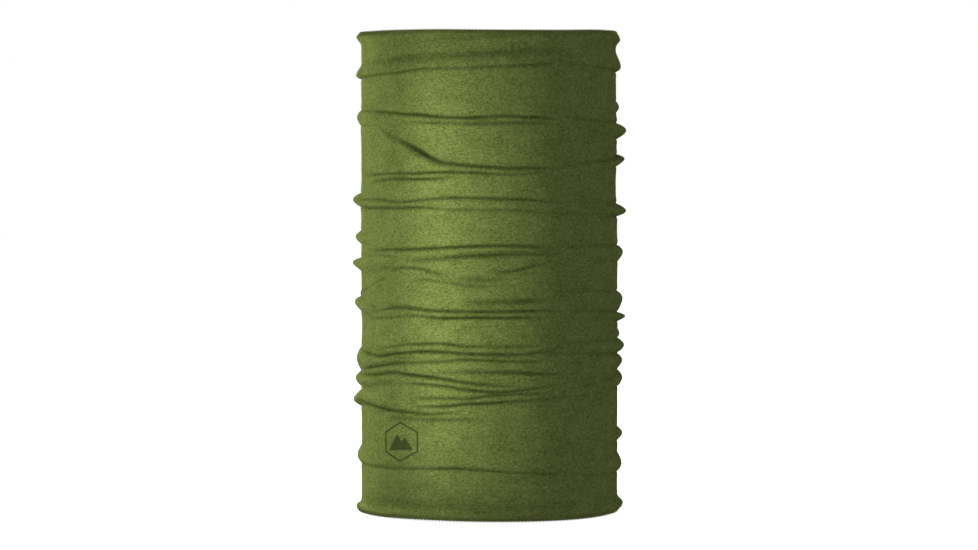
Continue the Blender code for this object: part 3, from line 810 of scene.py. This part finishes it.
def film(name, node, outlines, fabric, material):
    """A printed film that follows the fabric, filled between its outlines of (across, up) points."""
    shape = bmesh.new()
    edges = []
    for outline in outlines:
        corners = [shape.verts.new((across, up, 0)) for across, up in outline]
        edges += [shape.edges.new((a, b)) for a, b in zip(corners, corners[1:] + corners[:1])]
    bmesh.ops.triangle_fill(shape, edges=edges, use_beauty=True)
    for _ in range(FILM_CUTS):
        long_edges = [edge for edge in shape.edges if edge.calc_length() > FILM_EDGE]
        if not long_edges:
            break
        bmesh.ops.subdivide_edges(shape, edges=long_edges, cuts=1)
        bmesh.ops.triangulate(shape, faces=shape.faces)
    flat = np.array([vert.co for vert in shape.verts])
    angle = EMBLEM_ANGLE + np.degrees(flat[:, 0] * EMBLEM_STRETCH / TUBE_RADIUS)
    height = EMBLEM_HEIGHT + flat[:, 1] + flat[:, 0] * EMBLEM_SLANT
    for vert, co in zip(shape.verts, place(angle, fabric.radius_at(angle, height) + FILM_LIFT, height)):
        vert.co = co
    bmesh.ops.recalc_face_normals(shape, faces=shape.faces)
    first_face = next(iter(shape.faces))
    middle = first_face.calc_center_median()
    faces_inwards = first_face.normal.x * middle.x + first_face.normal.y * middle.y < 0
    if faces_inwards:
        bmesh.ops.reverse_faces(shape, faces=shape.faces)
    mesh = bpy.data.meshes.new(name)
    shape.to_mesh(mesh)
    shape.free()
    mesh.shade_smooth()
    obj = new_object(name, mesh, material)
    thickness = obj.modifiers.new("Film thickness", "SOLIDIFY")
    thickness.thickness = FILM_THICKNESS * MM
    thickness.offset = -1
    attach(obj, "tube")
    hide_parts(node)


def hexagon(half_height):
    """A regular hexagon, point up."""
    corners = [math.radians(90 + 60 * i) for i in range(6)]
    return [(half_height * math.cos(a), half_height * math.sin(a)) for a in corners]


def build_emblem(fabric, material):
    """A hexagonal border round twin peaks."""
    border = [hexagon(EMBLEM_HALF), hexagon(EMBLEM_HALF - EMBLEM_LINE)]
    film("emblem_border_print", "emblem_outline", border, fabric, material)
    peaks = [(across * EMBLEM_HALF, up * EMBLEM_HALF) for across, up in PEAKS]
    film("emblem_peaks_print", "emblem_peaks", [peaks], fabric, material)


# Materials. A ramp of colours is (position, colour) from its darkest to its lightest.

FABRIC_COLOURS = (
    (0.36, (0.103, 0.134, 0.026, 1)),
    (0.50, (0.171, 0.223, 0.050, 1)),
    (0.64, (0.252, 0.320, 0.084, 1)),
)
THREAD_COLOURS = ((0.3, (0.125, 0.158, 0.036, 1)), (0.7, (0.205, 0.260, 0.060, 1)))
PRINT_COLOURS = ((0.32, (0.038, 0.054, 0.012, 1)), (0.72, (0.062, 0.084, 0.021, 1)))
LABEL_COLOURS = ((0.3, (0.76, 0.72, 0.60, 1)), (0.7, (0.90, 0.87, 0.74, 1)))
# Painted shade: how much the base colour is darkened where a crease is deepest.
CREASE_PAINTED_SHADE = 0.62
CLOUD_SHARE = 0.18  # of the fabric's pattern that is soft clouds, where the rest is yarn strokes
KNIT_GROOVE_PAINTED_SHADE = 0.22  # painted shade, from the top of the knit's relief to the bottom of its grooves
LEG_SLANT = 1.3  # of a knit stitch's two legs


class Nodes:
    """A short way to add shader nodes to one material."""

    def __init__(self, name):
        self.material = bpy.data.materials.new(name)
        self.material.use_nodes = True
        self.tree = self.material.node_tree
        self.shader = self.tree.nodes["Principled BSDF"]

    def link(self, source, target):
        self.tree.links.new(source, target)

    def add(self, kind, **settings):
        """Adds a node of this kind with these settings."""
        node = self.tree.nodes.new(kind)
        for key, value in settings.items():
            setattr(node, key, value)
        return node

    def fill(self, node, **values):
        """Sets a node's own values. An underscore in a name stands for a space."""
        for name, value in values.items():
            node.inputs[name.replace("_", " ")].default_value = value

    def math(self, operation, a, b=None, c=None):
        """The result of an operation on up to three values, each a number or another node's output."""
        node = self.add("ShaderNodeMath", operation=operation)
        for socket, value in zip(node.inputs, (a, b, c)):
            if value is None:
                continue
            if isinstance(value, (int, float)):
                socket.default_value = value
            else:
                self.link(value, socket)
        return node.outputs[0]

    def noise(self, scale, detail=2.0, roughness=0.5, distortion=0.0):
        """Noise over the object, with this many cells to the metre along x, y and z."""
        place_node = self.add("ShaderNodeTexCoord")
        mapping = self.add("ShaderNodeMapping")
        self.fill(mapping, Scale=scale)
        self.link(place_node.outputs["Object"], mapping.inputs["Vector"])
        noise = self.add("ShaderNodeTexNoise")
        self.fill(noise, Scale=1.0, Detail=detail, Roughness=roughness, Distortion=distortion)
        self.link(mapping.outputs["Vector"], noise.inputs["Vector"])
        return noise.outputs["Fac"]

    def ramp(self, factor, stops):
        """A colour from this ramp, by this factor."""
        node = self.add("ShaderNodeValToRGB")
        node.color_ramp.elements[0].position, node.color_ramp.elements[0].color = stops[0]
        node.color_ramp.elements[1].position, node.color_ramp.elements[1].color = stops[-1]
        for position, colour in stops[1:-1]:
            node.color_ramp.elements.new(position).color = colour
        self.link(factor, node.inputs["Fac"])
        return node.outputs["Color"]

    def bump(self, height, strength, distance):
        """Gives the surface this relief, this many metres deep."""
        node = self.add("ShaderNodeBump")
        self.fill(node, Strength=strength, Distance=distance)
        self.link(height, node.inputs["Height"])
        self.link(node.outputs["Normal"], self.shader.inputs["Normal"])

    def surface(self, **values):
        """Sets the shader's own values, and returns the finished material."""
        self.fill(self.shader, **values)
        return self.material

    def tinted(self, colour, brightness):
        """Sets the base colour to this colour times this brightness."""
        tint = self.add("ShaderNodeVectorMath", operation="SCALE")
        self.link(colour, tint.inputs[0])
        self.link(brightness, tint.inputs["Scale"])
        self.link(tint.outputs["Vector"], self.shader.inputs["Base Color"])


def knit_height(nodes):
    """The relief of the knit: a V of two slanting legs for each stitch."""
    uv = nodes.add("ShaderNodeUVMap", uv_map="knit")
    split = nodes.add("ShaderNodeSeparateXYZ")
    nodes.link(uv.outputs["UV"], split.inputs["Vector"])
    wale = nodes.math("MULTIPLY", split.outputs["X"], WALES)
    course = nodes.math("MULTIPLY", split.outputs["Y"], COURSES)
    in_wale = nodes.math("ABSOLUTE", nodes.math("SUBTRACT", nodes.math("FRACT", wale), 0.5))
    leg = nodes.math("SUBTRACT", course, nodes.math("MULTIPLY", in_wale, LEG_SLANT))
    yarn = nodes.math("ABSOLUTE", nodes.math("SINE", nodes.math("MULTIPLY", leg, math.pi)))
    groove = nodes.math("SINE", nodes.math("MULTIPLY", in_wale, 2 * math.pi))
    return nodes.math("MULTIPLY", yarn, groove)


def knit_material():
    """Heathered microfibre jersey: short strokes of lighter and darker yarn over fine knit stitches, with
    painted shade in its creases and in the grooves of its stitches.
    """
    nodes = Nodes("knit_fabric")
    strokes = nodes.noise((640, 640, 1050), detail=2.0, roughness=0.6, distortion=0.9)
    cloud = nodes.noise((70, 70, 150), detail=2.0)
    stroke_part = nodes.math("MULTIPLY", strokes, 1 - CLOUD_SHARE)
    colour = nodes.ramp(nodes.math("MULTIPLY_ADD", cloud, CLOUD_SHARE, stroke_part), FABRIC_COLOURS)
    relief = knit_height(nodes)
    # Painted shade: the crease attribute darkens the base colour in the creases.
    crease = nodes.add("ShaderNodeAttribute", attribute_name="crease")
    shadow = nodes.math("MULTIPLY_ADD", crease.outputs["Fac"], -CREASE_PAINTED_SHADE, 1.0)
    # Painted shade: the knit's grooves are darker than the tops of its legs.
    stitch = nodes.math("MULTIPLY_ADD", relief, KNIT_GROOVE_PAINTED_SHADE, 1 - KNIT_GROOVE_PAINTED_SHADE / 2)
    nodes.tinted(colour, nodes.math("MULTIPLY", shadow, stitch))
    nodes.bump(nodes.math("MULTIPLY_ADD", strokes, 1.6, relief), 0.9, 0.00028)
    return nodes.surface(
        Roughness=0.85,
        Specular_IOR_Level=0.0,
        Sheen_Weight=0.06,
        Sheen_Roughness=0.45,
        Sheen_Tint=(0.50, 0.66, 0.16, 1),
    )


def thread_material():
    """Polyester overlock thread in the fabric's colour."""
    nodes = Nodes("edge_thread")
    fibre = nodes.noise((900, 900, 2400), detail=2.0)
    nodes.link(nodes.ramp(fibre, THREAD_COLOURS), nodes.shader.inputs["Base Color"])
    nodes.bump(fibre, 0.4, 0.0001)
    return nodes.surface(Roughness=0.75, Specular_IOR_Level=0.0)


def print_material():
    """A thin dark olive film, slightly worn."""
    nodes = Nodes("transfer_print")
    wear = nodes.noise((700, 700, 700), detail=3.0, roughness=0.6)
    nodes.link(nodes.ramp(wear, PRINT_COLOURS), nodes.shader.inputs["Base Color"])
    nodes.bump(wear, 0.35, 0.00012)
    return nodes.surface(Roughness=0.7, Specular_IOR_Level=0.0)


def label_material():
    """Off-white satin ribbon: fine ribs across it, and a denser woven band along each side."""
    nodes = Nodes("label_satin")
    place_node = nodes.add("ShaderNodeTexCoord")
    split = nodes.add("ShaderNodeSeparateXYZ")
    nodes.link(place_node.outputs["Object"], split.inputs["Vector"])
    rib = nodes.math("SINE", nodes.math("MULTIPLY", split.outputs["Z"], 2 * math.pi / (LABEL_RIB * MM)))
    from_middle = nodes.math("ABSOLUTE", split.outputs["X"])
    band = nodes.math("GREATER_THAN", from_middle, LABEL_BAND_START * MM)
    slub = nodes.noise((2400, 900, 700), detail=2.0)
    shade = nodes.math("MULTIPLY_ADD", rib, 0.05, nodes.math("MULTIPLY_ADD", band, -0.16, 0.95))
    nodes.tinted(nodes.ramp(slub, LABEL_COLOURS), shade)
    nodes.bump(nodes.math("MULTIPLY_ADD", slub, 0.6, rib), 0.4, 0.00008)
    return nodes.surface(Roughness=0.38, Specular_IOR_Level=0.35, Sheen_Weight=0.2)


# Care label


def label_profile(low, top):
    """The ribbon's section as (side, height): down the layer nearer the wall, round the fold, and up the
    other. side is the distance from the middle between the layers, positive towards the wall."""
    down = []
    for i in range(LABEL_LEG_ROWS):
        height = top + (low + LABEL_GAP - top) * i / (LABEL_LEG_ROWS - 1)
        side = SEWN_GAP + (LABEL_GAP - SEWN_GAP) * min(1, (top - height) / LABEL_OPENS)
        down.append((side, height))
    bends = [math.pi * i / LABEL_TURN_ROWS for i in range(1, LABEL_TURN_ROWS)]
    fold = [(LABEL_GAP * math.cos(bend), low + LABEL_GAP - LABEL_GAP * math.sin(bend)) for bend in bends]
    return down + fold + [(-side, height) for side, height in down[::-1]]


def sheet_faces(rows, columns):
    """Quads of an open sheet of points."""
    starts = [row * columns + i for row in range(rows - 1) for i in range(columns - 1)]
    return [(a, a + 1, a + columns + 1, a + columns) for a in starts]


def build_label(fabric, material):
    """A satin ribbon folded double. Its ends are caught in the top edge and its fold hangs at the bottom."""
    low, high = (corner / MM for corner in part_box("care_label"))
    middle_y = (low.y + high.y) / 2
    width = high.x - low.x
    top = np.interp(180, fabric.angle, fabric.high, period=360) - LABEL_INSET
    seam_y = fabric.radius_at(np.array([180.0]), np.array([top]))[0] - FABRIC_THICKNESS - SEWN_LABEL / 2
    profile = label_profile(low.z, top)
    points = []
    for side, height in profile:
        drop = (top - height) / (top - low.z)
        sewn = math.exp(-(((top - height) / LABEL_BEND) ** 2))
        for i in range(LABEL_COLUMNS):
            x = width * (i / (LABEL_COLUMNS - 1) - 0.5)
            curl = (LABEL_CURL + SEWN_CURL * sewn) * (x / (width / 2)) ** 2 + LABEL_HANG * drop * drop
            ripple = LABEL_RIPPLE * (1 - sewn) * math.sin(9 * drop + 0.35 * x)
            spread = side * (1 + LABEL_BULGE * math.sin(math.pi * drop))
            y = middle_y + (seam_y - middle_y) * sewn - curl - ripple + spread
            points.append((x * MM, y * MM, height * MM))
    mesh = bpy.data.meshes.new("folded_care_label")
    mesh.from_pydata(points, [], sheet_faces(len(profile), LABEL_COLUMNS))
    mesh.shade_smooth()
    obj = new_object("folded_care_label", mesh, material)
    ribbon = obj.modifiers.new("Ribbon thickness", "SOLIDIFY")
    ribbon.thickness = LABEL_FABRIC * MM
    ribbon.offset = 0
    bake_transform(obj)
    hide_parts("care_label")


# Stage. Metres from here on.

CAMERA_SIDE = -0.0004
CAMERA_DISTANCE = 2.29
CAMERA_HEIGHT = 0.260
AIM_HEIGHT = 0.1617
LENS = 122.6  # in millimetres, as the sensor is
SENSOR_WIDTH = 36

# Lights round the tube: (name, angle, distance, height above its middle, (width, height), power)
AREA_LIGHTS = (
    ("key_strip", -24, 0.145, 0.006, (0.02, 0.285), 0.153),
    ("fill_strip", 10, 0.125, 0.005, (0.01, 0.28), 0.008),
    ("back_left", -130, 1.2, 0.1, (0.25, 0.9), 35),
    ("back", 176, 1.2, 0.1, (0.25, 0.9), 2.5),
)
BEAM_START = (0, -0.55, 1.28)
BEAM_END = (0, 0.01, HEIGHT * MM)
BEAM_POWER = 20
BEAM_SPREAD = math.radians(9)
BEAM_SOFTNESS = 0.7  # the share of its spread over which it fades
BEAM_SOURCE = 0.04  # the radius of the lamp, which softens its shadows
BEAM_COLOUR = (1.0, 0.95, 0.80)

AMBIENT = 0.415
AMBIENT_COLOUR = (1.04, 1.0, 1.25, 1)
FLOOR_RADIUS = 6
FLOOR_COLOUR = (0.75, 0.75, 0.75, 1)
FLOOR_GLOW = 0.86
WHITE = (1, 1, 1, 1)


def stand(name, data, location, rotation):
    """Puts this camera or light in its place, turned to face its subject."""
    obj = new_object(name, data)
    obj.location = location
    obj.rotation_euler = rotation
    return obj


def build_camera():
    """Level with the tube's upper part and tipped down a little, with a long lens."""
    data = bpy.data.cameras.new("camera")
    data.lens = LENS
    data.sensor_width = SENSOR_WIDTH
    tip = math.atan((CAMERA_HEIGHT - AIM_HEIGHT) / CAMERA_DISTANCE)
    location = (CAMERA_SIDE, -CAMERA_DISTANCE, CAMERA_HEIGHT)
    bpy.context.scene.camera = stand("camera", data, location, (math.pi / 2 - tip, 0, 0))


def add_light(name, angle, distance, height, size, power):
    """A rectangular light at this angle round the tube, aimed level at its axis. size is (wide, tall)."""
    data = bpy.data.lights.new(name, "AREA")
    data.shape = "RECTANGLE"
    data.size, data.size_y = size
    data.energy = power
    turn = math.radians(angle)
    location = (distance * math.sin(turn), -distance * math.cos(turn), height)
    light = stand(name, data, location, (math.pi / 2, 0, turn))
    light.visible_camera = False


def build_lights():
    """Two near strips light the front, two large lights the back, and a beam the inside."""
    middle = HEIGHT * MM / 2
    for name, angle, distance, above_middle, size, power in AREA_LIGHTS:
        add_light(name, angle, distance, middle + above_middle, size, power)
    build_inside_light()


def build_inside_light():
    """A soft narrow beam from above the front, through the opening to the inner face at the back."""
    data = bpy.data.lights.new("inside", "SPOT")
    data.energy = BEAM_POWER
    data.spot_size = BEAM_SPREAD
    data.spot_blend = BEAM_SOFTNESS
    data.shadow_soft_size = BEAM_SOURCE
    data.color = BEAM_COLOUR
    aim = mathutils.Vector(BEAM_END) - mathutils.Vector(BEAM_START)
    stand("inside", data, BEAM_START, aim.to_track_quat("-Z", "Y").to_euler())


def build_world():
    """White to the camera, and a dimmer even light to everything else."""
    world = bpy.data.worlds.new("studio")
    world.use_nodes = True
    bpy.context.scene.world = world
    tree = world.node_tree
    tree.nodes.clear()
    path = tree.nodes.new("ShaderNodeLightPath")
    mix = tree.nodes.new("ShaderNodeMixShader")
    output = tree.nodes.new("ShaderNodeOutputWorld")
    for socket, colour, strength in ((1, AMBIENT_COLOUR, AMBIENT), (2, WHITE, 1.0)):
        light = tree.nodes.new("ShaderNodeBackground")
        light.inputs["Color"].default_value = colour
        light.inputs["Strength"].default_value = strength
        tree.links.new(light.outputs["Background"], mix.inputs[socket])
    tree.links.new(path.outputs["Is Camera Ray"], mix.inputs["Fac"])
    tree.links.new(mix.outputs["Shader"], output.inputs["Surface"])


def floor_material():
    """Matt white, lit from within so that it meets the background without an edge."""
    return Nodes("pale_floor").surface(
        Base_Color=FLOOR_COLOUR, Roughness=0.9, Emission_Color=WHITE, Emission_Strength=FLOOR_GLOW
    )


def build_floor():
    """A plain white disc, which adds no light of its own to the tube."""
    bpy.ops.mesh.primitive_circle_add(vertices=96, radius=FLOOR_RADIUS, fill_type="NGON", location=(0, 0, 0))
    floor = bpy.context.object
    floor.name = "floor"
    floor.data.materials.append(floor_material())
    floor.visible_diffuse = False
    floor.visible_glossy = False


def main():
    bpy.context.scene.view_settings.view_transform = "Standard"
    build_camera()
    build_world()
    build_lights()
    build_floor()
    fabric = Fabric()
    stitching = thread_material()
    build_fabric(fabric, knit_material())
    build_edge(fabric, "bottom_edge", "tube", False, stitching)
    build_edge(fabric, "top_edge", "top_edge", True, stitching)
    build_emblem(fabric, print_material())
    build_label(fabric, label_material())


main()
